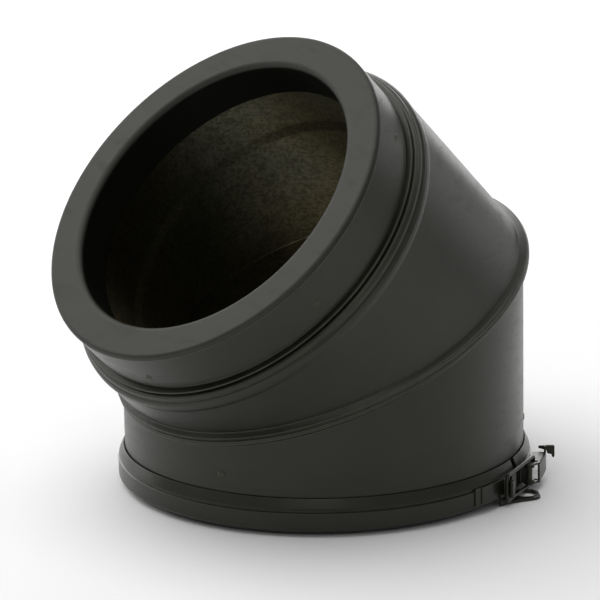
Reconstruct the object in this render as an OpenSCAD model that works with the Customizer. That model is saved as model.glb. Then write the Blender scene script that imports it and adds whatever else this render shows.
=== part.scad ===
// Insulated twin-wall flue elbow with a toggle-latched locking band.
// Millimetres. The origin is the centre of the lower end, on the surface that the elbow stands on.
// +Z is the lower axis. The outlet leans towards -Y, and X = 0 is the plane of the bend.

/* [Flue] */
// Bore of the liner
bore_d = 150; // [130:5:180]
// Depth of the jacket between the bore and the outside of the case
jacket = 25; // [25:1:30]
// Angle of the bend
bend = 45; // [30:5:50]
// Height of the mitre on the lower axis
lower_len = 85.5; // [82:0.5:110]
// Length of the outlet axis from the mitre to the end face
upper_len = 101; // [98:1:130]

/* [Sheet metal] */
// Thickness of the outer case and its rings
case_t = 0.7; // [0.6:0.1:0.8]
// Thickness of the stainless liner
liner_t = 0.6; // [0.5:0.1:0.6]
// How far the folded mitre seam stands out from the case
seam_out = 2.9; // [2:0.1:3.5]
// Half width of the mitre seam
seam_half = 3; // [2.5:0.1:3.5]

/* [Lower end] */
// Height of the foot of the lower case
foot_z = 9.2; // [8:0.1:10]
// Height of the floor of the annular socket
socket_z = 29.4; // [28:0.1:32]
// Height of the fixings that hold the socket ring
base_rivet_z = 27.8; // [27:0.1:27.9]

/* [Outlet end] */
// Depth of the sleeve that lines the mouth
sleeve_len = 22; // [18:1:25]
// Depth of the liner's socket
liner_socket = 50; // [45:1:52]
// Depth of the fixings round the collar
collar_rivet_d = 17; // [15:0.5:18]

/* [Locking band] */
// Height of the band
band_h = 19.2; // [19:0.1:19.5]
// How far the band stands out from the case
band_out = 3.5; // [3.4:0.1:3.8]
// Thickness of the band
band_t = 0.8; // [0.7:0.1:0.8]
// Width of the gap between the band's ends, in degrees
band_gap = 2.4; // [1.6:0.2:2.6]

/* [Latch] */
// Direction of the middle of the latch, in degrees from +X
latch_az = 22.9; // [22.9:0.1:23]
// Distance from the middle of the latch to the bail's bar and to its tips
bail_half = 17.3; // [17:0.1:17.5]
// Radius of the bail's wire
wire_r = 1; // [0.9:0.05:1]
// Radius of the lever's pivot pin
pin_r = 1.5; // [1.3:0.1:1.5]
// Radius of the hole in the safety eye
eye_r = 4.5; // [4:0.1:4.6]

/* [Hidden] */
$fn = 128;

black = [0.07, 0.07, 0.065];
steel = [0.62, 0.62, 0.6];
wool = [0.72, 0.68, 0.55];

bore_r = bore_d / 2;
case_r = bore_r + jacket;
case_in = case_r - case_t;
liner_out = bore_r + liner_t;
collar_r = case_r - 5.8;
collar_in = collar_r - case_t;
rim_r = collar_r + 0.1;
mouth_r = bore_r + 1;
sleeve_out = mouth_r + liner_t;
socket_in = sleeve_out + 0.05;
socket_out = socket_in + liner_t;
spigot_out = bore_r + 0.3;
spigot_in = spigot_out - liner_t;
spigot_len = 26;
guide_in = case_r - 4.8;
guard_in = liner_out + 0.7;  // the socket ring leaves the liner free to grow with heat
guard_out = guard_in + case_t;
far = 90;            // reach of a tube past the mitre, before it is cut
collar_rivet_count = 6;
collar_rivet_az = -21;
base_rivet_count = 3;
base_rivet_az = -72;
rivet_head_r = 1.9;
rivet_shank_r = 1.2;
rivet_fit = 0.05;

band_r = case_r + band_out;
lip_r = case_r - 3.4;
strap_t = 1.2;
strap_low = 5;
strap_high = 14;
lever_r = band_r + 8;
line_r = band_r + 2.3;      // line of the bail, from the band's axis
pivot = [line_r + 0.6, 10.4];
tip = [line_r, bail_half];
bar = [line_r, -bail_half];
bail_low = 2.8;
bail_high = 15.8;
wall_low = 4.1;      // outer faces of the lever's side walls
wall_high = 14.5;
wall_t = 1;
ear_low = 5.2;       // outer faces of the base's ears
ear_high = 13.4;
ear_t = 1;
run_fit = 0.05;

// Points of an arc about [x, y], from angle a to angle b
function arc(x, y, r, a, b, n = 6) =
    [for (i = [0 : n]) let (t = a + (b - a) * i / n) [x + r * cos(t), y + r * sin(t)]];

// A line of [radius, depth] points as seen in a section whose height is minus the depth
function down(line) = [for (p = line) [p[0], -p[1]]];

// The same line read from its last point to its first
function back(line) = [for (i = [len(line) - 1 : -1 : 0]) line[i]];

module outlet() {
    translate([0, 0, lower_len]) rotate([bend, 0, 0]) translate([0, 0, upper_len]) children();
}

// A slab parallel to the mitre plane, between two distances from it
module slab(low, high) {
    translate([0, 0, lower_len]) rotate([bend / 2, 0, 0])
        translate([-250, -250, low]) cube([500, 500, high - low]);
}

module above_mitre() {
    intersection() {
        outlet() children();
        slab(0, 400);
    }
}

module below_mitre() {
    intersection() {
        children();
        slab(-400, 0);
    }
}

module spin(points) {
    rotate_extrude() polygon(points);
}

// A rectangular section turned through part of a circle
module sector(r1, r2, z1, z2, a, b) {
    rotate([0, 0, a]) rotate_extrude(angle = b - a)
        translate([r1, z1]) square([r2 - r1, z2 - z1]);
}

// Repeats its child round the axis
module ring_of(count, first) {
    for (i = [0 : count - 1]) rotate([0, 0, first + i * 360 / count]) children();
}

// A cylinder along the radius, from r1 to r2, at height z
module peg(r1, r2, z, r) {
    translate([r1, 0, z]) rotate([0, 90, 0]) cylinder(r = r, h = r2 - r1, $fn = 32);
}

// A rivet's shank through sheets between two radii, with its set head inside
module rivet_shank(skin_in, skin_out, z) {
    set_top = skin_in - 0.05;
    peg(set_top - 0.45, set_top, z, rivet_head_r - 0.6);
    peg(set_top, skin_out, z, rivet_shank_r);
}

// The round head that stands out from a sheet's outer face
module rivet_head(skin_out, z) {
    peg(skin_out, skin_out + 0.35, z, rivet_head_r);
    peg(skin_out + 0.35, skin_out + 0.6, z, rivet_head_r - 0.6);
}

module rivet_holes(count, first, r, z) {
    ring_of(count, first) peg(r - 5, r + 3, z, rivet_shank_r + rivet_fit);
}

// One half of the folded seam: a stepped ridge on a tube, close to the mitre plane
module seam_ridge(side) {
    intersection() {
        children(0);
        slab(side < 0 ? -seam_half : 0, side < 0 ? 0 : seam_half);
    }
    intersection() {
        children(1);
        slab(side < 0 ? -seam_half * 0.68 : 0, side < 0 ? 0 : seam_half * 0.68);
    }
}

module ridge_tube(r, length) {
    difference() {
        cylinder(r = r, h = length);
        translate([0, 0, -1]) cylinder(r = case_in, h = length + 2);
    }
}

// ---- outer case ----

module outer_case_lower() {
    bead = [
        [case_in, foot_z], [case_r + 1.9, foot_z], [case_r + 2.3, foot_z + 0.5],
        [case_r + 2.3, foot_z + 1.6], [case_r + 1.6, foot_z + 3], [case_r, foot_z + 4.4]
    ];
    top = lower_len + far;
    color(black) difference() {
        union() {
            below_mitre() spin(concat(bead, [[case_r, top], [case_in, top]]));
            seam_ridge(-1) {
                ridge_tube(case_r + seam_out * 0.7, top);
                ridge_tube(case_r + seam_out, top);
            }
        }
        rivet_holes(base_rivet_count, base_rivet_az, case_r, base_rivet_z);
    }
}

// The collar, the locking groove and the stop beads, as [radius, depth behind the end face]
collar_line = [
    [collar_r, 26], [collar_r - 0.8, 26.6], [collar_r + 0.4, 27], [collar_r + 2, 27.2],
    [collar_r + 2.5, 27.7], [collar_r + 2, 28.2], [collar_r + 2.6, 28.6], [collar_r + 4, 29.1],
    [collar_r + 4.3, 30], [collar_r + 4.1, 31.3], [collar_r + 5.3, 32.3], [collar_r + 6.3, 33.5],
    [collar_r + 6.5, 34.8], [collar_r + 6.1, 36.2], [collar_r + 5.7, 37.4], [collar_r + 5.8, 38.6]
];

module outer_case_upper() {
    inner_line = [for (p = collar_line) [p[0] - case_t, p[1] + 0.55]];
    bottom = upper_len + far;
    outside = concat([[collar_r, 2.5]], collar_line, [[case_r, bottom]]);
    inside = concat([[collar_in, 2.5]], inner_line, [[case_in, bottom]]);
    color(black) difference() {
        union() {
            above_mitre() spin(down(concat(outside, back(inside))));
            seam_ridge(1) {
                outlet() translate([0, 0, -bottom]) ridge_tube(case_r + seam_out * 0.7, far + 60);
                outlet() translate([0, 0, -bottom]) ridge_tube(case_r + seam_out, far + 60);
            }
        }
        outlet() rivet_holes(collar_rivet_count, collar_rivet_az, collar_r, -collar_rivet_d);
    }
}

// ---- rings that close the jacket ----

module top_end_ring() {
    lip = mouth_r + 2.2;
    skirt_out = collar_in - 0.02;
    skirt_in = skirt_out - case_t;
    outside = concat(
        [[mouth_r, sleeve_len], [mouth_r, 2.1], [mouth_r + 0.5, 1.1], [mouth_r + 1.2, 0.4], [lip, 0]],
        arc(rim_r - 1.5, 1.5, 1.5, -90, 0),
        [[rim_r, 2.5], [skirt_out, 2.5], [skirt_out, 21]]);
    inside = [[skirt_in, 21], [skirt_in, 0.7], [lip + 0.2, 0.7], [sleeve_out + 0.5, 1.5],
        [sleeve_out, 2.5], [sleeve_out, sleeve_len]];
    color(black) outlet() difference() {
        spin(down(concat(outside, inside)));
        rivet_holes(collar_rivet_count, collar_rivet_az, collar_r, -collar_rivet_d);
    }
}

module bottom_socket_ring() {
    top = socket_z + case_t;
    flange_low = base_rivet_z - 1.4;
    color(steel) difference() {
        spin([[guard_in, socket_z], [case_in - case_t, socket_z], [case_in - case_t, flange_low],
            [case_in, flange_low], [case_in, top], [guard_out, top], [guard_out, top + 3],
            [guard_in, top + 3]]);
        rivet_holes(base_rivet_count, base_rivet_az, case_r, base_rivet_z);
    }
}

module socket_sleeve() {
    guide_out = guide_in + case_t;
    color(steel) spin([[guide_in, foot_z], [case_in, foot_z], [case_in, foot_z + case_t],
        [guide_out, foot_z + case_t], [guide_out, socket_z], [guide_in, socket_z]]);
}

// ---- liner and insulation ----

module liner_lower() {
    top = lower_len + far;
    color(steel) below_mitre() spin([[spigot_in, 0], [spigot_out, 0], [spigot_out, spigot_len],
        [liner_out, spigot_len + 2], [liner_out, top], [bore_r, top], [bore_r, spigot_len + 2],
        [spigot_in, spigot_len]]);
}

module liner_upper() {
    bottom = upper_len + far;
    color(steel) above_mitre() spin(down([[socket_in, 3.2], [socket_out, 3.2],
        [socket_out, liner_socket], [liner_out, liner_socket + 3], [liner_out, bottom],
        [bore_r, bottom], [bore_r, liner_socket + 3], [socket_in, liner_socket]]));
}

module insulation_lower() {
    low = socket_z + case_t;
    top = lower_len + far;
    color(wool) below_mitre() spin([[guard_out, low], [case_in, low], [case_in, top], [liner_out, top],
        [liner_out, low + 3], [guard_out, low + 3]]);
}

module insulation_upper() {
    bottom = upper_len + far;
    outer = collar_in - 1.4;
    color(wool) above_mitre() spin(down([[socket_out, 1.8], [outer, 1.8], [outer, 27.5],
        [collar_r + 2.9, 31.5], [collar_r + 4.7, 36], [case_in - 0.3, 39], [case_in - 0.3, bottom],
        [liner_out, bottom], [liner_out, liner_socket + 3], [socket_out, liner_socket]]));
}

module collar_rivets() {
    color(black) outlet() ring_of(collar_rivet_count, collar_rivet_az)
        rivet_shank(collar_in - 0.02 - case_t, collar_r - 0.15, -collar_rivet_d);
}

module base_rivets() {
    color(black) ring_of(base_rivet_count, base_rivet_az) {
        rivet_shank(case_in - case_t, case_r, base_rivet_z);
        rivet_head(case_r, base_rivet_z);
    }
}

// ---- locking band ----

module locking_band() {
    corner = band_t * 0.35;
    inner_r = band_r - band_t;
    crease = 1;          // depth of the rolled crease below the top lip
    section = [
        [lip_r, 0], [band_r, 4.4], [band_r, band_h - 6.9], [band_r - crease, band_h - 6.2],
        [band_r - crease, band_h - 5.6], [band_r - crease / 2, band_h - 5.1], [case_r + 0.9, band_h],
        [case_r + 0.15, band_h - 0.4], [inner_r - crease / 2, band_h - 5.1 - corner],
        [inner_r - crease, band_h - 5.6], [inner_r - crease, band_h - 6.2],
        [inner_r, band_h - 6.9 - corner], [inner_r, 4.4 + corner], [lip_r - 0.4, 0.7]
    ];
    color(black) rotate([0, 0, latch_az + 1.5]) rotate_extrude(angle = 360 - band_gap) polygon(section);
}

// ---- latch: x is outwards and y is along the band, in the frame turned to latch_az ----

module latch_frame() {
    rotate([0, 0, latch_az]) children();
}

module keeper_hook() {
    strap_r = band_r + strap_t;
    strap_from = latch_az - 20.9;
    stem_y = -bail_half + wire_r + 0.1;
    hook_top = line_r + 3.6;
    lip_low = line_r + 2.5;
    root = band_r - 0.2;
    hook = [
        [root, stem_y], [lip_low, stem_y], [lip_low, stem_y - 2.6], [hook_top - 0.4, stem_y - 2.6],
        [hook_top, stem_y - 2.2], [hook_top, stem_y + strap_t], [root, stem_y + strap_t]
    ];
    color(black) union() {
        difference() {
            sector(band_r, strap_r, strap_low, strap_high, strap_from, latch_az - 1.4);
            sector(band_r + strap_t / 2, strap_r + 1, 0, 20, strap_from - 1, strap_from + 2.4);
        }
        latch_frame() translate([0, 0, strap_low + 0.4])
            linear_extrude(strap_high - strap_low - 0.8) polygon(hook);
    }
}

module safety_eye() {
    plate_low = 0.2;
    plate_t = 1.2;
    eye = [band_r + 4.5, -1];
    outline = [
        [band_r - 2, -21.6], [band_r - 0.8, -20.8], [band_r + 1.2, -15.6], [band_r + 10.6, -6.2],
        [band_r + 12.2, -3.6], [band_r + 12, -1.2], [band_r + 8.4, 5.4], [band_r + 6.4, 6.8],
        [band_r + 1, 6.4], [band_r - 2, 3.4], [band_r - 2.4, -12]
    ];
    color(black) union() {
        rotate([0, 0, latch_az + 1.8]) difference() {
            translate([0, 0, plate_low]) linear_extrude(plate_t) polygon(outline);
            translate([eye[0], eye[1], -1]) cylinder(r = eye_r, h = 4);
        }
        sector(band_r, band_r + strap_t, plate_low, strap_low, latch_az - 10.2, latch_az - 6);
    }
}

module latch_base() {
    plate_t = 1;
    color(black) difference() {
        union() {
            sector(band_r, band_r + plate_t, ear_low, ear_high, latch_az + 2.1, latch_az + 13.5);
            for (z = [ear_low, ear_high - ear_t]) latch_frame() {
                translate([pivot[0], pivot[1], z]) cylinder(r = 2.6, h = ear_t);
                translate([band_r - 0.2, pivot[1] - 2.6, z]) cube([pivot[0] - band_r + 0.2, 5.2, ear_t]);
            }
        }
        latch_frame() translate([pivot[0], pivot[1], 0]) cylinder(r = pin_r, h = 20);
    }
}

module lever_pivot_pin() {
    proud = 0.15;
    color(steel) latch_frame() translate([pivot[0], pivot[1], wall_low - proud])
        cylinder(r = pin_r, h = wall_high - wall_low + 2 * proud);
}

// One side wall of the lever, cut from flat sheet with a round hub at the pivot
module lever_wall(start, finish) {
    reach = 2 * lever_r;
    linear_extrude(wall_t) difference() {
        union() {
            intersection() {
                difference() {
                    circle(r = lever_r - 0.3);
                    circle(r = band_r + 1.4);
                }
                polygon([[0, 0], [reach * cos(start), reach * sin(start)],
                    [reach * cos(finish), reach * sin(finish)]]);
            }
            translate(pivot) circle(r = 2.9);
        }
        translate(pivot) circle(r = pin_r + run_fit);
        translate(tip) circle(r = wire_r + run_fit);
    }
}

module latch_lever() {
    start = 6.6;
    finish = 17.6;
    tab_t = 1.2;
    fold = 0.15;
    tab = [
        [band_r + 4, 15.6], [band_r + 8.1, 14.6], [band_r + 8.7, 12.8], [band_r + 10.7, 12.6],
        [band_r + 10.9, 11.2], [band_r + 11.6, 10.6], [band_r + 12.2, 11.4], [band_r + 12.2, 16.8],
        [band_r + 11.7, 17.2], [band_r + 8.1, 17.2], [band_r + 4, 16.8]
    ];
    color(black) latch_frame() union() {
        for (z = [wall_low, wall_high - wall_t]) translate([0, 0, z]) lever_wall(start, finish - 1.6);
        sector(lever_r - 1, lever_r, wall_low + fold, wall_high - fold, start + 0.4, finish);
        sector(lever_r - 1.1, lever_r + 0.1, wall_high - 6, 17, finish - 1.2, finish + 0.1);
        rotate([90, 0, finish]) translate([0, 0, -tab_t / 2]) linear_extrude(tab_t) polygon(tab);
    }
}

// Half of the bail: an arm, half of the bar, and the tip that turns in towards the lever
module bail_half_at(z, tip_end) {
    middle = (bail_low + bail_high) / 2;
    translate([bar[0], bar[1], z]) sphere(r = wire_r, $fn = 48);
    translate([tip[0], tip[1], z]) sphere(r = wire_r, $fn = 48);
    translate([bar[0], bar[1], z]) rotate([-90, 0, 0]) cylinder(r = wire_r, h = 2 * bail_half, $fn = 48);
    translate([bar[0], bar[1], min(z, middle)]) cylinder(r = wire_r, h = abs(middle - z), $fn = 48);
    translate([tip[0], tip[1], min(z, tip_end)]) cylinder(r = wire_r, h = abs(tip_end - z), $fn = 48);
}

module latch_bail() {
    color(steel) latch_frame() {
        bail_half_at(bail_low, wall_low + wall_t);
        bail_half_at(bail_high, wall_high - wall_t);
    }
}

outer_case_lower();
outer_case_upper();
top_end_ring();
bottom_socket_ring();
socket_sleeve();
liner_lower();
liner_upper();
insulation_lower();
insulation_upper();
collar_rivets();
base_rivets();
locking_band();
keeper_hook();
safety_eye();
latch_base();
latch_lever();
lever_pivot_pin();
latch_bail();
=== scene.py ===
"""Looks of the insulated flue elbow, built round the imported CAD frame.

Lengths are in millimetres until a mesh is made.
"""

import math

import bmesh
import bpy
from mathutils import Matrix, Vector


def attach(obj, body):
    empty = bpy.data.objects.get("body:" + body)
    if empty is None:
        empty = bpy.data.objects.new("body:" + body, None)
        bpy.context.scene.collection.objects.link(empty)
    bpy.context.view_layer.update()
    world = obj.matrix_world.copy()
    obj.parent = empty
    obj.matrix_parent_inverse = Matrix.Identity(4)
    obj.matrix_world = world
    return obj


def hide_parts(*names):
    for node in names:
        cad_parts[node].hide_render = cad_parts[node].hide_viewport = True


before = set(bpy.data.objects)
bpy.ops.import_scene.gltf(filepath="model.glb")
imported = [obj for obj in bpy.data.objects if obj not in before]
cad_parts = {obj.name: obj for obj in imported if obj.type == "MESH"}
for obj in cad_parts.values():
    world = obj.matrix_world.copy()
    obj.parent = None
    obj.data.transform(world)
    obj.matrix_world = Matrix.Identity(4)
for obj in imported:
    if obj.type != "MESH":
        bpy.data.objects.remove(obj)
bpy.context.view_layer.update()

MM = 0.001
BEND = math.radians(45)
MITRE_SLOPE = math.tan(BEND / 2)
ALONG_AXIS = 1 / math.cos(BEND / 2)  # length along a leg's axis for a distance from the mitre plane
MITRE_Z = 85.5
OUTLET_LEN = 101.0
BENT_STEP = 1.5  # length of a facet of a bent plate
TURNS = 240  # steps round a full circle
LEVER_TURNS = 720  # finer steps, for the short arc of the lever
ROUNDED_SHARE = 0.45  # a corner's rounding takes at most this share of each side
NEARLY_STRAIGHT = math.radians(174)

CASE_R = 100.0
CASE_IN = 99.3
COLLAR_R = 94.2
BORE_R = 75.0
BAND_R = 103.5
SOCKET_Z = 29.4  # underside of the ring that closes the lower end
FOOT_Z = 9.2  # lowest edge of the case and of the guide sleeve
WALL_Z = 24.0  # above this the lower case is a plain tube
LATCH_AZ = math.radians(22.9)
LATCH_DEG = math.degrees(LATCH_AZ)
PIVOT = (106.4, 10.4)  # the lever's pivot, seen along the latch's axis
TIP = (105.8, 17.3)  # where the bail is held in the lever
BAR = (105.8, -17.3)  # where the bail pulls on the hook

OUTLET = (
    Matrix.Translation((0, 0, MITRE_Z))
    @ Matrix.Rotation(BEND, 4, "X")
    @ Matrix.Translation((0, 0, OUTLET_LEN))
)
LATCH = Matrix.Rotation(LATCH_AZ, 4, "Z")


# ---- sections and meshes ----


def round_corner(before, here, after, reach, steps):
    """Points of the curve that rounds the corner at here and starts at most reach away from it."""
    a, b = before - here, after - here
    reach = min(reach, ROUNDED_SHARE * a.length, ROUNDED_SHARE * b.length)
    start, stop = here + a.normalized() * reach, here + b.normalized() * reach
    curve = []
    for k in range(steps + 1):
        t = k / steps
        curve.append(start * (1 - t) ** 2 + here * 2 * t * (1 - t) + stop * t * t)
    return curve


def soften(line, radius=0.4, steps=4, closed=True):
    """The line with each corner rounded, as points (x, y, side).

    A point is (x, y), (x, y, side) or (x, y, side, its own radius). A corner between two sides
    of different names stays sharp.
    """
    points = []
    for p in line:
        side = p[2] if len(p) > 2 else None
        points.append((p[0], p[1], side, p[3] if len(p) > 3 else radius))
    out = []
    count = len(points)
    for i, (x, y, side, r) in enumerate(points):
        before, after = points[i - 1], points[(i + 1) % count]
        here, back, ahead = Vector((x, y)), Vector(before[:2]), Vector(after[:2])
        a, b = back - here, ahead - here
        at_end = not closed and i in (0, count - 1)
        other_side = before[2] != side or after[2] != side
        if at_end or other_side or r <= 0 or min(a.length, b.length) < 1e-6:
            out.append((x, y, side))
            continue
        angle = a.angle(b)
        if angle > NEARLY_STRAIGHT:
            out.append((x, y, side))
            continue
        curve = round_corner(back, here, ahead, r / math.tan(angle / 2), steps)
        out += [(c.x, c.y, side) for c in curve]
    return out


def arc(x, y, r, a, b, steps=12):
    """Points of an arc round (x, y) from angle a to angle b, in degrees."""
    angles = [math.radians(a + (b - a) * i / steps) for i in range(steps + 1)]
    return [(x + r * math.cos(t), y + r * math.sin(t)) for t in angles]


def link(name, mesh, material, body, nodes=()):
    """Puts a finished mesh, in metres and in the row frame, into the scene as a piece."""
    piece = bpy.data.objects.new(name, mesh)
    bpy.context.scene.collection.objects.link(piece)
    mesh.materials.clear()
    mesh.materials.append(material)
    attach(piece, body)
    if nodes:
        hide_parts(*nodes)
    return piece


def close(bm, name, sharp=38):
    """Makes a mesh of bm, with outward normals and smooth shading except at sharp edges."""
    bmesh.ops.remove_doubles(bm, verts=bm.verts, dist=1e-7)
    bmesh.ops.recalc_face_normals(bm, faces=bm.faces)
    for face in bm.faces:
        face.smooth = True
    mesh = bpy.data.meshes.new(name)
    bm.to_mesh(mesh)
    bm.free()
    mesh.set_sharp_from_angle(angle=math.radians(sharp))
    return mesh


def even_normals(piece):
    piece.modifiers.new("even_normals", "WEIGHTED_NORMAL").keep_sharp = True


def lathe_into(bm, line, place=None, at_mitre=None, start=0.0, sweep=360.0, turns=TURNS):
    """Adds the closed section of (radius, height, side) turned round the axis.

    A height whose side is "mitre" is measured from the mitre plane: at_mitre gives that plane's
    height for a y. place is a matrix in millimetres.
    """
    full = sweep >= 359.99
    count = turns if full else max(2, round(turns * sweep / 360)) + 1
    rings = []
    for i in range(count):
        a = math.radians(start + sweep * i / (count if full else count - 1))
        ring = []
        for p in line:
            x, y = p[0] * math.cos(a), p[0] * math.sin(a)
            z = p[1] + (at_mitre(y) if len(p) > 2 and p[2] == "mitre" else 0)
            v = Vector((x, y, z))
            ring.append(bm.verts.new((place @ v if place else v) * MM))
        rings.append(ring)
    size = len(line)
    for i in range(count if full else count - 1):
        a, b = rings[i], rings[(i + 1) % count]
        for k in range(size):
            bm.faces.new((a[k], a[(k + 1) % size], b[(k + 1) % size], b[k]))
    if not full:
        bm.faces.new(rings[0])
        bm.faces.new(rings[-1][::-1])


def lower_mitre(y):
    return MITRE_Z + MITRE_SLOPE * y


def upper_mitre(y):
    return -OUTLET_LEN - MITRE_SLOPE * y


def from_mouth(p):
    """A section point of the outlet leg, whose heights are depths below the mouth, as a height."""
    on_mitre = len(p) > 2 and p[2] == "mitre"
    return (p[0], p[1] if on_mitre else -p[1], *p[2:])


def lathe(name, line, material, body, slot, nodes=(), outlet=False, **more):
    """A turned piece on the lower leg's axis, or on the outlet leg's axis."""
    bm = bmesh.new()
    if outlet:
        lathe_into(bm, [from_mouth(p) for p in line], OUTLET, upper_mitre, **more)
    else:
        lathe_into(bm, line, None, lower_mitre, **more)
    even_normals(link(name, close(bm, name), material, body, nodes))


def plate_into(bm, outline, holes=(), thick=1.0, edge=0.2, low=0.0, place=None, bend_r=None):
    """Adds a flat plate with rounded edges, cut to outline, from height low to low + thick.

    place puts it in the row frame. With bend_r, x runs along an arc of that radius, y is the
    height, and the plate's thickness is radial.
    """
    curve = bpy.data.curves.new("cut", "CURVE")
    curve.dimensions = "2D"
    curve.fill_mode = "BOTH"
    curve.extrude = thick / 2 - edge
    curve.bevel_depth = edge
    curve.bevel_resolution = 2
    curve.offset = -edge
    for points in (outline, *holes):
        spline = curve.splines.new("POLY")
        spline.points.add(len(points) - 1)
        for point, p in zip(spline.points, points):
            point.co = (p[0], p[1], 0, 1)
        spline.use_cyclic_u = True
    holder = bpy.data.objects.new("cut", curve)
    bpy.context.scene.collection.objects.link(holder)
    graph = bpy.context.evaluated_depsgraph_get()
    flat = bpy.data.meshes.new_from_object(holder.evaluated_get(graph), depsgraph=graph)
    bpy.data.objects.remove(holder)
    part = bmesh.new()
    part.from_mesh(flat)
    bpy.data.meshes.remove(flat)
    bmesh.ops.remove_doubles(part, verts=part.verts, dist=1e-4)
    if bend_r:
        xs = [v.co.x for v in part.verts]
        cuts = int((max(xs) - min(xs)) / BENT_STEP)
        for i in range(1, cuts + 1):
            x = min(xs) + (max(xs) - min(xs)) * i / (cuts + 1)
            whole = part.verts[:] + part.edges[:] + part.faces[:]
            bmesh.ops.bisect_plane(part, geom=whole, plane_co=(x, 0, 0), plane_no=(1, 0, 0))
        for v in part.verts:
            a, r = v.co.x / bend_r, bend_r + v.co.z + thick / 2
            v.co = (r * math.cos(a), r * math.sin(a), v.co.y)
    else:
        for v in part.verts:
            v.co.z += low + thick / 2
    for v in part.verts:
        v.co = (place @ v.co if place else v.co) * MM
    bmesh.ops.recalc_face_normals(part, faces=part.faces)
    half = bpy.data.meshes.new("part")
    part.to_mesh(half)
    part.free()
    bm.from_mesh(half)
    bpy.data.meshes.remove(half)


def arc_plate(bm, r_in, thick, z_low, z_high, start, stop, corner=0.8, holes=(), edge=0.2):
    """Adds a rectangular plate that follows the band.

    start and stop are angles in degrees from the latch's middle.
    """
    s0, s1 = math.radians(start) * r_in, math.radians(stop) * r_in
    outline = soften([(s0, z_low), (s1, z_low), (s1, z_high), (s0, z_high)], corner, 4)
    plate_into(bm, outline, holes, thick, edge, place=LATCH, bend_r=r_in)


def spot_into(bm, line, place, turns=32):
    """Adds a small turned shape, whose line of (radius, height) starts and ends on the axis."""
    rings = []
    for i in range(turns):
        a = 2 * math.pi * i / turns
        ring = [place @ Vector((r * math.cos(a), r * math.sin(a), h)) for r, h in line]
        rings.append([bm.verts.new(v * MM) for v in ring])
    size = len(line)
    for i in range(turns):
        a, b = rings[i], rings[(i + 1) % turns]
        for k in range(size - 1):
            corners = [a[k], a[k + 1], b[k + 1], b[k]]
            if line[k][0] == 0:
                corners = [a[k], a[k + 1], b[k + 1]]
            elif line[k + 1][0] == 0:
                corners = [a[k], a[k + 1], b[k]]
            bm.faces.new(corners)


def on_wall(azimuth, radius, height, frame_matrix=None):
    """A matrix whose z points out of a cylinder's wall, at an azimuth in degrees and a height.

    frame_matrix puts the cylinder in the row frame.
    """
    m = Matrix.Rotation(math.radians(azimuth), 4, "Z") @ Matrix.Translation((radius, 0, height))
    m = m @ Matrix.Rotation(math.radians(90), 4, "Y")
    return frame_matrix @ m if frame_matrix else m


# ---- materials ----


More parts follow.
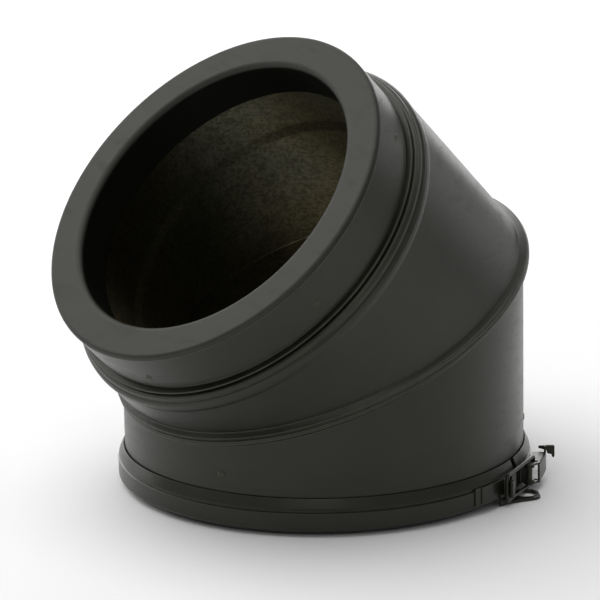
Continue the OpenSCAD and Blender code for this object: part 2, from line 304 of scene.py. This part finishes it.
class Tree:
    """A short way to write a material's nodes."""

    def __init__(self, name):
        self.material = bpy.data.materials.new(name)
        self.material.use_nodes = True
        self.nodes = self.material.node_tree.nodes
        self.links = self.material.node_tree.links
        self.bsdf = self.nodes["Principled BSDF"]
        self.place = self.add("ShaderNodeTexCoord").outputs["Object"]

    def add(self, kind, **values):
        node = self.nodes.new(kind)
        for key, value in values.items():
            setattr(node, key, value)
        return node

    def wire(self, value, socket):
        if isinstance(value, bpy.types.NodeSocket):
            self.links.new(value, socket)
        else:
            socket.default_value = value

    def stretched(self, scale, rotation=(0, 0, 0)):
        node = self.add("ShaderNodeMapping")
        self.links.new(self.place, node.inputs["Vector"])
        node.inputs["Scale"].default_value = scale
        node.inputs["Rotation"].default_value = rotation
        return node.outputs["Vector"]

    def noise(self, scale, detail=2.0, rough=0.5, where=None, distortion=0.0):
        node = self.add("ShaderNodeTexNoise")
        self.links.new(where or self.place, node.inputs["Vector"])
        node.inputs["Scale"].default_value = scale
        node.inputs["Detail"].default_value = detail
        node.inputs["Roughness"].default_value = rough
        node.inputs["Distortion"].default_value = distortion
        return node.outputs["Fac"]

    def cells(self, scale, output="Distance"):
        node = self.add("ShaderNodeTexVoronoi")
        self.links.new(self.place, node.inputs["Vector"])
        node.inputs["Scale"].default_value = scale
        return node.outputs[output]

    def span(self, value, from_low, from_high, to_low, to_high):
        """value, carried smoothly from one range to another."""
        node = self.add("ShaderNodeMapRange", interpolation_type="SMOOTHSTEP")
        self.wire(value, node.inputs["Value"])
        self.wire(from_low, node.inputs["From Min"])
        self.wire(from_high, node.inputs["From Max"])
        self.wire(to_low, node.inputs["To Min"])
        self.wire(to_high, node.inputs["To Max"])
        return node.outputs["Result"]

    def math(self, operation, a, b=0.0):
        node = self.add("ShaderNodeMath", operation=operation)
        self.wire(a, node.inputs[0])
        self.wire(b, node.inputs[1])
        return node.outputs["Value"]

    def mix(self, factor, a, b):
        node = self.add("ShaderNodeMix", data_type="RGBA")
        self.wire(factor, node.inputs["Factor"])
        self.wire(a, node.inputs["A"])
        self.wire(b, node.inputs["B"])
        return node.outputs["Result"]

    def axis(self, name):
        parts = self.add("ShaderNodeSeparateXYZ")
        self.links.new(self.place, parts.inputs["Vector"])
        return parts.outputs[name]

    def depth(self):
        """How far a point lies below the plane of the mouth, in metres."""
        along = self.add("ShaderNodeVectorMath", operation="DOT_PRODUCT")
        self.links.new(self.place, along.inputs[0])
        along.inputs[1].default_value = (0, -math.sin(BEND), math.cos(BEND))
        mouth = (MITRE_Z * math.cos(BEND) + OUTLET_LEN) * MM
        return self.math("SUBTRACT", mouth, along.outputs["Value"])

    def edges(self, radius):
        """1 at an edge and 0 on a flat or gently curved surface."""
        bevel = self.add("ShaderNodeBevel", samples=6)
        bevel.inputs["Radius"].default_value = radius * MM
        geometry = self.add("ShaderNodeNewGeometry")
        dot = self.add("ShaderNodeVectorMath", operation="DOT_PRODUCT")
        self.links.new(bevel.outputs["Normal"], dot.inputs[0])
        self.links.new(geometry.outputs["Normal"], dot.inputs[1])
        return self.span(dot.outputs["Value"], 0.995, 0.93, 0.0, 1.0)

    def bumps(self, *layers):
        """Each layer is (height, distance in millimetres, strength)."""
        normal = None
        for height, distance, strength in layers:
            node = self.add("ShaderNodeBump")
            node.inputs["Distance"].default_value = distance * MM
            node.inputs["Strength"].default_value = strength
            self.links.new(height, node.inputs["Height"])
            if normal:
                self.links.new(normal, node.inputs["Normal"])
            normal = node.outputs["Normal"]
        self.links.new(normal, self.bsdf.inputs["Normal"])

    def finish(self, colour, roughness, metallic=0.0, specular=0.5):
        self.wire(colour, self.bsdf.inputs["Base Color"])
        self.wire(roughness, self.bsdf.inputs["Roughness"])
        self.wire(metallic, self.bsdf.inputs["Metallic"])
        self.wire(specular, self.bsdf.inputs["Specular IOR Level"])
        return self.material


def coat(
    name, tone, rough, peel=0.6, grain=0.5, warm=(1.0, 1.03, 0.74), inside=None, rim=0.5
):
    """A baked black coating: orange peel, a powder grain, soft mottling, and paler edges that are
    partly wear and partly a painted highlight.

    tone is its brightness and warm its tint. peel and grain are the strengths of the two reliefs.
    inside is its tone in the mouth, deeper than the rolled edge: a painted shade, darker and less
    glossy than the coat outside. rim is the reach of the paler edges from an edge, in millimetres.
    """

    def tinted(value):
        return tuple(value * w for w in warm) + (1,)

    t = Tree(name)
    cloud = t.noise(26, 3, 0.55)
    peel_noise = t.noise(520, 2, 0.5)
    grain_noise = t.noise(2600, 1, 0.6)
    specks = t.span(t.cells(1500), 0.0, 0.09, 1.0, 0.0)
    # Paler edges: partly wear on the coat, partly a painted highlight that draws bright lines along
    # the seam's fillets and the band's top edge. The specks share the same pale colour.
    edge = t.edges(rim)
    pale_dust_wear_highlight = tinted(tone * 3 + 0.03)
    mottled = t.span(cloud, 0.35, 0.65, 0.0, 1.0)
    colour = t.mix(mottled, tinted(tone * 0.82), tinted(tone * 1.22))
    colour = t.mix(t.math("MULTIPLY", specks, 0.14), colour, pale_dust_wear_highlight)
    edge_wear_and_highlight = t.span(t.noise(120, 3, 0.6), 0.35, 0.6, 0.35, 0.9)
    colour = t.mix(t.math("MULTIPLY", edge, edge_wear_and_highlight), colour, pale_dust_wear_highlight)
    t.bumps((peel_noise, 0.075, peel), (grain_noise, 0.024, grain))
    smears = t.noise(1.0, 4, 0.6, t.stretched((55, 55, 260)), 0.8)
    shine = t.span(cloud, 0.3, 0.7, rough - 0.03, rough + 0.03)
    shine = t.math("ADD", shine, t.span(smears, 0.5, 0.72, 0.0, 0.07))
    shine = t.math("ADD", shine, t.span(grain_noise, 0.3, 0.7, -0.03, 0.03))
    t.wire((1.0, 1.0, 0.9, 1), t.bsdf.inputs["Specular Tint"])
    if inside is None:
        return t.finish(colour, shine, 0.0, 0.38)
    # Painted shade in the mouth: deeper than the rolled edge the coat turns darker and less glossy.
    deep = t.span(t.depth(), 1.2 * MM, 3.0 * MM, 0.0, 1.0)
    colour = t.mix(deep, colour, tinted(inside))
    return t.finish(colour, shine, 0.0, t.span(deep, 0.0, 1.0, 0.36, 0.12))


def stainless(name, leg):
    """Mill-finished stainless sheet, with rolling lines round the tube, heat tint and soot, and
    painted
    shade: near black towards -x, and in the upper leg a dark ring at the socket's shoulder.
    """
    t = Tree(name)
    along = t.stretched((18, 18, 900), (0, 0, 0) if leg == "lower" else (-BEND, 0, 0))
    lines = t.noise(1.0, 4, 0.6, along)
    mottle = t.noise(330, 4, 0.7, distortion=1.2)
    tint = t.noise(11, 3, 0.6)
    grain = t.noise(900, 2, 0.6)
    straw = (0.42, 0.37, 0.22, 1)
    grey = (0.39, 0.385, 0.28, 1)
    soot = (0.075, 0.07, 0.05, 1)
    colour = t.mix(t.span(tint, 0.4, 0.62, 0.0, 1.0), straw, grey)
    colour = t.mix(t.span(mottle, 0.4, 0.62, 0.0, 0.55), colour, soot)
    colour = t.mix(t.span(lines, 0.35, 0.7, 0.0, 0.22), colour, soot)
    # Painted shade: the bore is painted near black towards -x, where its wall stays out of the
    # light.
    ragged = t.math("ADD", t.axis("X"), t.math("MULTIPLY", t.noise(9, 3, 0.6), 40 * MM))
    painted_shade = t.span(ragged, -60 * MM, -5 * MM, 0.9, 0.0)
    # Painted shade under the socket's shoulder, 46 to 54 mm below the mouth.
    if leg == "upper":
        depth = t.depth()
        below = t.span(depth, 46 * MM, 48 * MM, 0.0, 1.0)
        above = t.span(depth, 52 * MM, 54 * MM, 1.0, 0.0)
        shoulder_shade = t.math("MULTIPLY", below, above)
        painted_shade = t.math("MAXIMUM", painted_shade, t.math("MULTIPLY", shoulder_shade, 0.5))
    # The near-black colour here is the painted shade.
    colour = t.mix(painted_shade, colour, (0.006, 0.007, 0.005, 1))
    rough = t.span(mottle, 0.3, 0.7, 0.36, 0.5)
    t.bumps((lines, 0.02, 0.2), (mottle, 0.05, 0.35), (grain, 0.01, 0.35))
    return t.finish(colour, rough, 1.0)


def zinc(name, tone=0.42):
    """Hot-dip galvanised sheet: a spangle of cells over a soft haze."""
    t = Tree(name)
    parts = t.add("ShaderNodeSeparateColor")
    t.links.new(t.cells(110, "Color"), parts.inputs["Color"])
    value = parts.outputs["Red"]
    haze = t.noise(60, 4, 0.6)
    dark = (tone * 0.8, tone * 0.82, tone * 0.85, 1)
    pale = (tone * 1.2, tone * 1.22, tone * 1.25, 1)
    colour = t.mix(value, dark, pale)
    colour = t.mix(t.span(haze, 0.4, 0.7, 0.0, 0.5), colour, (0.3, 0.3, 0.29, 1))
    t.bumps((haze, 0.03, 0.3), (t.noise(1200, 2), 0.008, 0.3))
    return t.finish(colour, t.math("ADD", t.math("MULTIPLY", value, 0.14), 0.36), 1.0)


def wool(name):
    """Mineral wool: matted pale yellow fibres."""
    t = Tree(name)
    fibres = t.noise(1.0, 5, 0.7, t.stretched((900, 900, 120)), 1.5)
    tufts = t.noise(70, 4, 0.7)
    colour = t.mix(fibres, (0.36, 0.3, 0.16, 1), (0.62, 0.56, 0.38, 1))
    t.bumps((fibres, 0.4, 0.9), (tufts, 1.5, 0.8))
    return t.finish(colour, 0.95, 0.0, 0.2)


# rim=1.3 carries the paler edges, part wear and part painted highlight, onto the seam's fillets.
BLACK = coat("black_coating", 0.0105, 0.34, rim=1.3)
# inside=0.003 paints the shade in the mouth onto the ring's sleeve.
FACE = coat(
    "black_coating_face", 0.016, 0.5, peel=0.35, grain=0.8, warm=(1.0, 1.02, 0.86), inside=0.003
)
BAND_BLACK = coat("black_coating_band", 0.0105, 0.32)
WIRE = coat("black_wire", 0.012, 0.3, peel=0.3, grain=0.3)
PIN = coat("black_pin", 0.02, 0.36, peel=0.2, grain=0.4)
LINER_LOWER = stainless("stainless_liner_lower", "lower")
LINER_UPPER = stainless("stainless_liner_upper", "upper")
ZINC = zinc("galvanised_sheet")
WOOL = wool("mineral_wool")

# ---- outer case ----


def seam(sign):
    """Half of the folded mitre seam, from the plain wall to the mitre plane.

    sign is -1 for the half below the plane and 1 for the half above. Each row is a radius, a
    distance from the plane and a fillet.
    """
    rows = [(CASE_R, 3.9, 1.2), (CASE_R + 2.0, 2.5, 0.5), (CASE_R + 2.9, 2.0, 0.45)]
    rows += [(CASE_R + 2.95, 1.2, 0.3), (CASE_R + 2.9, 0.25, 0.2), (CASE_R + 2.65, 0.02, 0)]
    return [(r, sign * d * ALONG_AXIS, "mitre", fillet) for r, d, fillet in rows]


lower_foot = [
    (CASE_IN, FOOT_Z), (CASE_R + 1.9, FOOT_Z), (CASE_R + 2.3, 9.7), (CASE_R + 2.3, 10.8),
    (CASE_R + 1.6, 12.2), (CASE_R, 13.6), (CASE_R, WALL_Z),
]
# Known flaw: the foot's last corner is rounded too, which leaves a groove about 0.1 mm deep
# round the wall at 21 to 22 mm.
lower_line = soften(lower_foot, 0.6)[:-1] + [(CASE_R, WALL_Z)]
lower_line += soften([(CASE_R, -9.0, "mitre")] + seam(-1), 0.4, closed=False)
lower_line += [(CASE_IN, -0.02, "mitre"), (CASE_IN, -9.0, "mitre"), (CASE_IN, WALL_Z)]
lathe("case_lower", lower_line, BLACK, "elbow", "black_coating", ["outer_case_lower"])

collar = [
    (COLLAR_R, 2.5), (COLLAR_R, 12.0), (COLLAR_R, 25.2), (COLLAR_R - 1.2, 26.1),
    (COLLAR_R - 0.8, 26.8), (COLLAR_R + 2.1, 27.0), (COLLAR_R + 2.6, 27.5),
    (COLLAR_R + 2.2, 28.1), (COLLAR_R + 0.7, 28.3), (COLLAR_R + 0.9, 28.8),
    (COLLAR_R + 3.3, 29.0), (COLLAR_R + 4.1, 29.7), (COLLAR_R + 4.35, 30.8),
    (COLLAR_R + 4.3, 31.5), (COLLAR_R + 5.2, 32.1), (COLLAR_R + 6.0, 33.2),
    (COLLAR_R + 6.3, 34.8), (COLLAR_R + 6.2, 36.4), (COLLAR_R + 5.85, 38.2),
    (COLLAR_R + 5.8, 39.6), (COLLAR_R + 5.8, 44.0),
]
collar_inside = [
    (CASE_IN, 44.0), (CASE_IN, 38.0), (COLLAR_R + 4.9, 34.5), (COLLAR_R + 3.2, 31.6),
    (COLLAR_R + 1.2, 30.2), (COLLAR_R - 1.9, 28.0), (COLLAR_R - 1.9, 24.6),
    (COLLAR_R - 0.7, 23.6), (COLLAR_R - 0.7, 2.5),
]
upper_line = soften(collar, 0.45, 3, closed=False)
upper_line += soften([(CASE_R, 9.0, "mitre")] + seam(1), 0.4, closed=False)
upper_line += [(CASE_IN, 0.02, "mitre"), (CASE_IN, 9.0, "mitre")] + collar_inside
lathe(
    "case_upper", upper_line, BLACK, "elbow", "black_coating", ["outer_case_upper"], outlet=True
)

# ---- the ring that closes the mouth: its face, its rolled rim and the sleeve inside ----

MOUTH_R = 76.0
SLEEVE_LEN = 22.0
LIP_R = 3.0  # rolled inner lip
RIM_R = 2.1  # rolled outer rim
RIM_X = 92.2
SKIRT = (92.78, 93.48)  # inner and outer radius of the skirt, which sits in the collar
SKIRT_LEN = 21.0
lip = [
    (MOUTH_R + LIP_R - LIP_R * math.cos(a), LIP_R - LIP_R * math.sin(a))
    for a in (0.15, 0.4, 0.65, 0.9, 1.15, 1.4)
]
rim = [
    (RIM_X + RIM_R * math.sin(a), RIM_R - RIM_R * math.cos(a))
    for a in (0.05, 0.3, 0.55, 0.8, 1.05, 1.3, 1.52)
]
face_line = [(MOUTH_R, SLEEVE_LEN), (MOUTH_R, 12.0), (MOUTH_R, 3.4)] + lip
face_line += [(MOUTH_R + LIP_R, 0.02), (MOUTH_R + 3.6, 0.0), (85.0, 0.0), (91.7, 0.0)] + rim
face_line += [(94.3, 2.4), (SKIRT[1], 2.75), (SKIRT[1], SKIRT_LEN), (SKIRT[0], SKIRT_LEN)]
face_line += [(SKIRT[0], 2.6), (91.9, 0.75), (85.0, 0.7), (MOUTH_R + 3.6, 0.75)]
face_line += [(MOUTH_R + 1.2, 2.0), (MOUTH_R + 0.6, 4.0), (MOUTH_R + 0.6, SLEEVE_LEN)]
lathe("end_ring", face_line, FACE, "elbow", "black_coating", ["top_end_ring"], outlet=True)

# ---- sheet metal at the base ----

ring_line = [
    (76.3, SOCKET_Z), (98.6, SOCKET_Z), (98.6, 26.4), (CASE_IN, 26.4),
    (CASE_IN, 30.1), (77.0, 30.1), (77.0, 33.1), (76.3, 33.1),
]
ring_line = soften(ring_line, 0.3)
lathe("socket_ring", ring_line, ZINC, "elbow", "galvanised_sheet", ["bottom_socket_ring"])
guide_line = [
    (95.2, FOOT_Z), (CASE_IN, FOOT_Z), (CASE_IN, 9.9),
    (95.9, 9.9), (95.9, SOCKET_Z), (95.2, SOCKET_Z),
]
guide_line = soften(guide_line, 0.3)
lathe("guide_sleeve", guide_line, ZINC, "elbow", "galvanised_sheet", ["socket_sleeve"])

# ---- liner ----

SPIGOT = 75.3
SOCKET_R = 77.25  # outside of the socket that takes the next liner
LINER_OUT = BORE_R + 0.6
lower_liner = [
    (SPIGOT - 0.6, 0.3), (SPIGOT - 0.3, 0.0), (SPIGOT, 0.3), (SPIGOT, 26.0), (LINER_OUT, 28.0),
    (LINER_OUT, -0.02, "mitre"), (BORE_R + 0.4, -0.02, "mitre"), (BORE_R + 0.1, -0.5, "mitre"),
    (BORE_R, -1.2, "mitre"), (BORE_R, 28.0), (SPIGOT - 0.6, 26.0),
]
lathe("liner_low", lower_liner, LINER_LOWER, "elbow", "stainless_liner", ["liner_lower"])
upper_liner = [
    (SOCKET_R, 3.2), (SOCKET_R, 47.6), (LINER_OUT, 53.4), (LINER_OUT, 0.02, "mitre"),
    (BORE_R + 0.4, 0.02, "mitre"), (BORE_R + 0.1, 0.5, "mitre"), (BORE_R, 1.2, "mitre"),
    (BORE_R, 53.6), (BORE_R + 0.3, 51.8), (76.35, 48.4), (76.65, 47.2), (76.65, 3.2),
]
lathe(
    "liner_up", upper_liner, LINER_UPPER, "elbow", "stainless_liner", ["liner_upper"], outlet=True
)

# ---- rivets ----

BASE_RIVETS, BASE_RIVET_AZ, BASE_RIVET_Z = 3, -72, 27.8
COLLAR_RIVETS, COLLAR_RIVET_AZ, COLLAR_RIVET_DEPTH = 6, -21, 17.0

bm = bmesh.new()
dome = [(0, 0.42), (0.9, 0.52), (1.45, 0.45), (1.8, 0.24), (1.92, 0.0), (1.9, -0.1), (0, -0.1)]
dome = [(r, h + 0.06) for r, h in dome]
for k in range(BASE_RIVETS):
    azimuth = BASE_RIVET_AZ + 360 // BASE_RIVETS * k
    spot_into(bm, dome, on_wall(azimuth, CASE_R, BASE_RIVET_Z))
mesh = close(bm, "base_rivet_heads")
link("base_rivet_heads", mesh, BLACK, "elbow", ["base_rivets"])

bm = bmesh.new()
dimple = [
    (0, 0.05), (0.7, 0.06), (0.85, 0.2), (1.0, 0.3), (1.3, 0.34),
    (1.7, 0.24), (2.05, 0.0), (2.05, -0.12), (0, -0.12),
]
for k in range(COLLAR_RIVETS):
    azimuth = COLLAR_RIVET_AZ + 360 // COLLAR_RIVETS * k
    spot_into(bm, dimple, on_wall(azimuth, COLLAR_R, -COLLAR_RIVET_DEPTH, OUTLET))
mesh = close(bm, "collar_rivet_heads")
link("collar_rivet_heads", mesh, BLACK, "elbow", ["collar_rivets"])

# ---- locking band ----

BAND_H = 19.2
CREASE_R = BAND_R - 1.05
band_line = [
    (96.6, 0.0, None, 0.2), (BAND_R, 4.4, None, 1.2), (BAND_R, BAND_H - 6.9, None, 0.5),
    (CREASE_R, BAND_H - 6.3, None, 0.3), (CREASE_R, BAND_H - 5.6, None, 0.25),
    (BAND_R - 0.35, BAND_H - 5.2, None, 0.35), (BAND_R - 0.75, BAND_H - 4.0, None, 0.6),
    (CASE_R + 0.95, BAND_H, None, 0.25), (CASE_R + 0.2, BAND_H - 0.45, None, 0.2),
    (BAND_R - 1.6, BAND_H - 4.4, None, 0.4), (CREASE_R - 0.75, BAND_H - 5.6, None, 0.3),
    (CREASE_R - 0.75, BAND_H - 6.4, None, 0.3), (BAND_R - 0.8, BAND_H - 7.2, None, 0.4),
    (BAND_R - 0.8, 4.7, None, 0.6), (96.2, 0.7, None, 0.2),
]
lathe(
    "band_ring", soften(band_line), BAND_BLACK, "band", "black_coating", ["locking_band"],
    start=LATCH_DEG + 1.5, sweep=357.6,
)

# ---- latch ----


def latch_piece(bm, name, body, node, material=BAND_BLACK):
    even_normals(link(name, close(bm, name), material, body, [node]))


# the strap on the band's end, its window, the flat tail and the hook
bm = bmesh.new()
per_degree = math.radians(1) * BAND_R
left, right = -8.2 * per_degree, -4.2 * per_degree
window = soften([(left, 5.9), (right, 5.9), (right, 13.1), (left, 13.1)], 0.7)
arc_plate(bm, BAND_R, 1.2, 5.0, 14.0, -18.6, -1.4, 0.9, [window])
arc_plate(bm, BAND_R, 0.6, 5.0, 14.0, -20.9, -18.0, 0.5, edge=0.12)
hook = [
    (103.9, -16.2, None, 0.1), (108.2, -16.2, None, 0.3), (108.2, -18.8, None, 0.2),
    (109.4, -18.8, None, 0.3), (109.4, -15.0, None, 1.3), (103.9, -15.0, None, 0.1),
]
plate_into(bm, soften(hook, 0.2, 5), thick=8.2, edge=0.2, low=5.4, place=LATCH)
latch_piece(bm, "hook_strap", "band", "keeper_hook")

# the safety eye and the tongue that holds it
bm = bmesh.new()
EYE = (108.0, -1.0)
eye_outline = [
    (101.5, -21.6), (102.7, -20.8), (104.7, -15.6), (114.1, -6.2), (115.7, -3.6), (115.5, -1.2),
    (111.9, 5.4), (109.9, 6.8), (104.5, 6.4), (101.5, 3.4), (101.1, -12.0),
]
eye_outline = soften(eye_outline, 2.2, 5)
eye_hole = arc(*EYE, 4.5, 0, 352.5, 47)
eye_place = Matrix.Rotation(LATCH_AZ + math.radians(1.8), 4, "Z")
plate_into(bm, eye_outline, [eye_hole], thick=1.2, edge=0.3, low=0.2, place=eye_place)
arc_plate(bm, BAND_R, 1.2, 0.6, 5.4, -10.2, -6.0, 0.5)
latch_piece(bm, "seal_eye", "band", "safety_eye")

# the base plate and its two ears
bm = bmesh.new()
EAR_LOWS = (5.2, 12.4)
arc_plate(bm, BAND_R, 1.0, 5.2, 13.4, 2.1, 13.5, 0.9)
ear = [(103.6, 7.8), (106.4, 7.8)] + arc(*PIVOT, 2.6, -90, 90) + [(103.6, 13.0)]
for z in EAR_LOWS:
    plate_into(bm, ear, thick=1.0, edge=0.15, low=z, place=LATCH)
latch_piece(bm, "lever_base", "band", "latch_base")

bm = bmesh.new()
PIN_LOW = 3.95
pin_line = [
    (0, 0.0), (0.9, 0.04), (1.3, 0.14), (1.5, 0.34),
    (1.5, 10.36), (1.3, 10.56), (0.9, 10.66), (0, 10.7),
]
spot_into(bm, pin_line, LATCH @ Matrix.Translation((*PIVOT, PIN_LOW)))
latch_piece(bm, "pivot_pin", "band", "lever_pivot_pin", PIN)

# the lever: a channel, two cheeks with the pin's hole, the step at its end and the finger tab
bm = bmesh.new()
LEVER_R = 111.5
CHEEK_LOWS = (4.1, 13.5)
channel = [
    (104.9, 4.1, None, 0.15), (LEVER_R, 4.1, None, 1.3), (LEVER_R, 14.5, None, 1.3),
    (104.9, 14.5, None, 0.15), (104.9, 13.5, None, 0.15), (LEVER_R - 1, 13.5, None, 0.4),
    (LEVER_R - 1, 5.1, None, 0.4), (104.9, 5.1, None, 0.15),
]
lathe_into(bm, soften(channel), start=LATCH_DEG + 7.0, sweep=9.0, turns=LEVER_TURNS)
cheek = [(103.9, 11.4)] + arc(*PIVOT, 2.85, 160, 370, 24)
cheek += [(110.9, 13.9), (109.4, 16.0), (104.2, 15.4)]
pin_hole = arc(*PIVOT, 1.5, 0, 345, 23)
for z in CHEEK_LOWS:
    plate_into(bm, cheek, [pin_hole], thick=1.0, edge=0.15, low=z, place=LATCH)
arc_plate(bm, LEVER_R - 1, 1.0, 4.6, 14.0, 15.6, 17.7, 0.4)
arc_plate(bm, LEVER_R - 1, 1.0, 8.0, 17.0, 16.6, 17.75, 0.4)
tab_place = Matrix.Rotation(LATCH_AZ + math.radians(17.6), 4, "Z")
tab_place = tab_place @ Matrix.Rotation(math.radians(90), 4, "X")
tab = [
    (107.6, 15.6), (107.6, 16.8), (112.6, 17.2), (115.2, 17.2), (115.7, 16.6), (115.7, 11.6),
    (115.1, 10.7), (114.4, 11.4), (114.2, 12.6), (112.2, 12.8), (111.6, 14.6),
]
plate_into(bm, soften(tab, 0.5, 4), thick=1.2, edge=0.25, low=-0.6, place=tab_place)
latch_piece(bm, "toggle_lever", "lever", "latch_lever")


def wire_loop(name, corners, r, round_off, material, body, nodes):
    """A round wire of radius r along corners, with rounded bends and domed ends."""
    path = []
    for i, c in enumerate(corners):
        here = Vector(c)
        if i in (0, len(corners) - 1):
            path.append(here)
            continue
        path += round_corner(Vector(corners[i - 1]), here, Vector(corners[i + 1]), round_off, 8)
    bm = bmesh.new()
    sides = 20
    rings = []
    up = Vector((1, 0, 0))
    for i, p in enumerate(path):
        direction = (path[min(i + 1, len(path) - 1)] - path[max(i - 1, 0)]).normalized()
        side = direction.cross(up).normalized()
        over = side.cross(direction)
        ends = [(p, r)]
        if i == 0:
            ends = [(p, r * 0.75), (p + direction * 0.12, r * 0.93), (p + direction * 0.3, r)]
        if i == len(path) - 1:
            ends = [(p - direction * 0.3, r), (p - direction * 0.12, r * 0.93), (p, r * 0.75)]
        for centre, radius in ends:
            ring = []
            for k in range(sides):
                a = 2 * math.pi * k / sides
                v = centre + (side * math.cos(a) + over * math.sin(a)) * radius
                ring.append(bm.verts.new((LATCH @ v) * MM))
            rings.append(ring)
    for a, b in zip(rings, rings[1:]):
        for k in range(sides):
            bm.faces.new((a[k], a[(k + 1) % sides], b[(k + 1) % sides], b[k]))
    bm.faces.new(rings[0])
    bm.faces.new(rings[-1][::-1])
    link(name, close(bm, name, 45), material, body, nodes)


# the bail: from one end in the lever, round the hook and back to the other end
low, high = 2.8, 15.8
bail_path = [
    (*TIP, 5.05), (*TIP, low), (*BAR, low), (*BAR, high), (*TIP, high), (*TIP, 13.55),
]
wire_loop("bail_wire", bail_path, 1.0, 1.7, WIRE, "bail", ["latch_bail"])

# ---- hidden pieces keep their CAD shape ----

for node in ("insulation_lower", "insulation_upper"):
    wool_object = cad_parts[node]
    wool_object.data.materials.clear()
    wool_object.data.materials.append(WOOL)

# ---- floor, light and camera ----


def floor():
    bm = bmesh.new()
    bmesh.ops.create_grid(bm, x_segments=8, y_segments=8, size=30)
    mesh = bpy.data.meshes.new("floor")
    bm.to_mesh(mesh)
    bm.free()
    t = Tree("floor")
    shade = t.mix(t.noise(3, 2), (0.94, 0.94, 0.94, 1), (0.96, 0.96, 0.96, 1))
    mesh.materials.append(t.finish(shade, 0.85, 0.0, 0.1))
    piece = bpy.data.objects.new("floor", mesh)
    bpy.context.scene.collection.objects.link(piece)


floor()

world = bpy.data.worlds.new("world")
bpy.context.scene.world = world
world.use_nodes = True
world.node_tree.nodes["Background"].inputs["Color"].default_value = (1, 1, 1, 1)
world.node_tree.nodes["Background"].inputs["Strength"].default_value = 0.3
bpy.context.scene.view_settings.view_transform = "Standard"

CENTRE = Vector((0, -0.02, 0.105))


def softbox(name, place, size, glow):
    """A rectangular light, in metres, turned to the object. glow is its radiance."""
    lamp = bpy.data.lights.new(name, "AREA")
    lamp.shape = "RECTANGLE"
    lamp.size, lamp.size_y = size
    lamp.energy = glow * math.pi * size[0] * size[1]
    holder = bpy.data.objects.new(name, lamp)
    holder.location = place
    holder.rotation_euler = (CENTRE - Vector(place)).to_track_quat("-Z", "Y").to_euler()
    bpy.context.scene.collection.objects.link(holder)


softbox("overhead", (-0.9, -0.5, 2.5), (3.6, 3.6), 1.62)
softbox("backdrop", (-2.4, 1.7, 0.9), (3.6, 1.8), 2.3)
softbox("left_panel", (-1.85, -0.5, 0.7), (1.0, 1.3), 1.2)
softbox("right_panel", (0.2, 2.1, 0.8), (1.2, 1.5), 0.5)
softbox("front_fill", (1.6, -1.8, 2.3), (1.6, 1.6), 1.1)


def look(azimuth, elevation, roll, distance, lens, aim):
    """A camera at distance metres from aim. Azimuth 0 looks along +Y. Angles are in degrees."""
    a, e = math.radians(azimuth), math.radians(elevation)
    back = Vector((math.sin(a) * math.cos(e), -math.cos(a) * math.cos(e), math.sin(e)))
    data = bpy.data.cameras.new("camera")
    data.lens = lens
    data.clip_start, data.clip_end = 0.05, 200
    holder = bpy.data.objects.new("camera", data)
    holder.location = aim + back * distance
    turn = (-back).to_track_quat("-Z", "Y").to_matrix().to_4x4()
    turn = turn @ Matrix.Rotation(math.radians(roll), 4, "Z")
    holder.rotation_euler = turn.to_euler()
    bpy.context.scene.collection.objects.link(holder)
    bpy.context.scene.camera = holder


AIM = Vector((0.008, -0.0219, 0.0958))
look(azimuth=48.0, elevation=15.0, roll=-1.0, distance=1.8, lens=219.7, aim=AIM)
